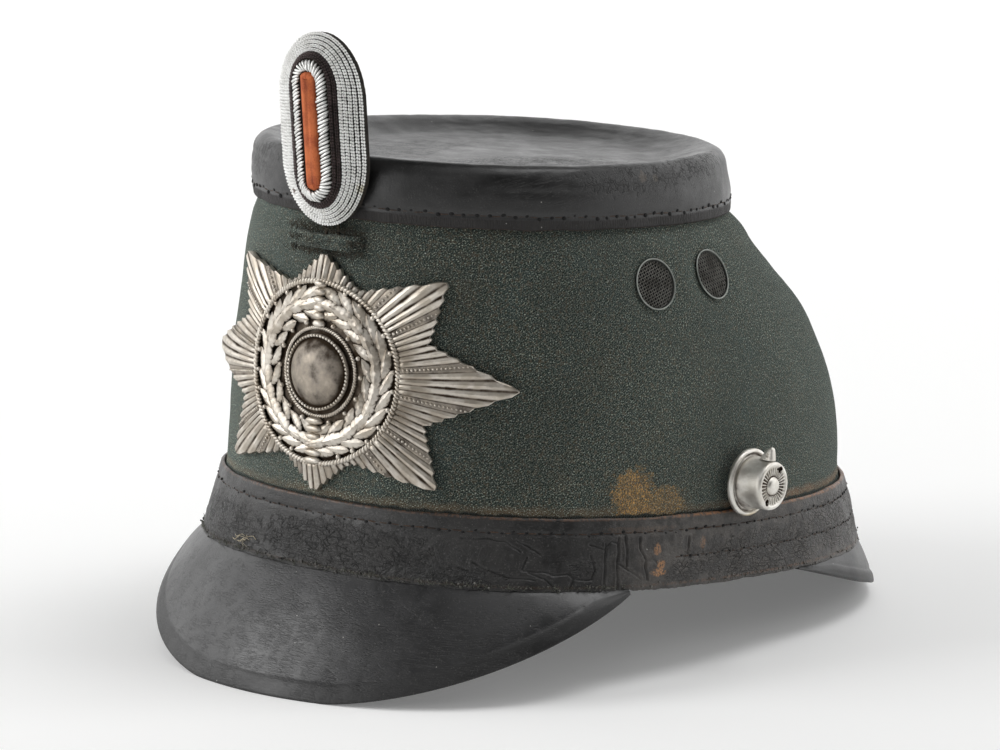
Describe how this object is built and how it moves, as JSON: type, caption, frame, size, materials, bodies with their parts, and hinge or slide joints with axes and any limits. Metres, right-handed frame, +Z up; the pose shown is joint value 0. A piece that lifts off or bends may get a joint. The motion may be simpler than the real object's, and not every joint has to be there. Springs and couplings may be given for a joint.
{
  "type": "shako hat",
  "caption": "Stiff cloth shako with a leather crown, base band and peaks, oval cockade, rayed front plate, side vents and knobs.",
  "frame": {"origin": "on the surface the hat rests on, under the centre of its bounding box", "axes": "+Z up, the front faces -Y, the wearer's left is +X; the hat leans back 4.5 degrees on its two peaks"},
  "size_m": [0.1918, 0.241, 0.1895],
  "materials": {
    "cloth": "dark grey-green fulled wool twill, matt, dusty, with a rust-brown stain",
    "crown_leather": "black crackled vachette leather, semi-gloss, worn at the crest",
    "band_leather": "black leather band, cracked, with a worn tan upper edge",
    "peak_leather": "lacquered leather, glossy, fine craquelure and scuffs",
    "plate_silver": "stamped nickel silver, satin, brown tarnish in the recesses",
    "knob_silver": "stamped nickel silver, worn bright on the rims, brassy in places",
    "vent_metal": "light grey metal ring",
    "gauze_metal": "dulled wire gauze",
    "wire_metal": "bright steel wire",
    "silver_cord": "silver metal thread cord",
    "brown_cord": "dark brown cord",
    "bullion": "silver bullion thread",
    "orange_cloth": "orange-red felt",
    "board_felt": "black felt over stiff board"
  },
  "bodies": {
    "root": {"shako_body": "cloth", "base_band": "band_leather", "crown_top": "crown_leather", "peak_front": "peak_leather", "peak_rear": "peak_leather", "badge_star": "plate_silver", "badge_wreath": "plate_silver", "badge_boss": "plate_silver", "cockade_board": "board_felt", "cockade_cord_ring": "silver_cord", "cockade_dark_ring": "brown_cord", "cockade_bullion_ring": "bullion", "cockade_centre": "orange_cloth", "cockade_prong": "wire_metal", "cockade_pocket": "cloth", "vent_ring_left_fore": "vent_metal", "vent_gauze_left_fore": "gauze_metal", "vent_ring_left_aft": "vent_metal", "vent_gauze_left_aft": "gauze_metal", "knob_flange_left": "knob_silver", "knob_drum_left": "knob_silver", "knob_hook_left": "knob_silver", "vent_ring_right_fore": "vent_metal", "vent_gauze_right_fore": "gauze_metal", "vent_ring_right_aft": "vent_metal", "vent_gauze_right_aft": "gauze_metal", "knob_flange_right": "knob_silver", "knob_drum_right": "knob_silver", "knob_hook_right": "knob_silver"}
  },
  "joints": []
}
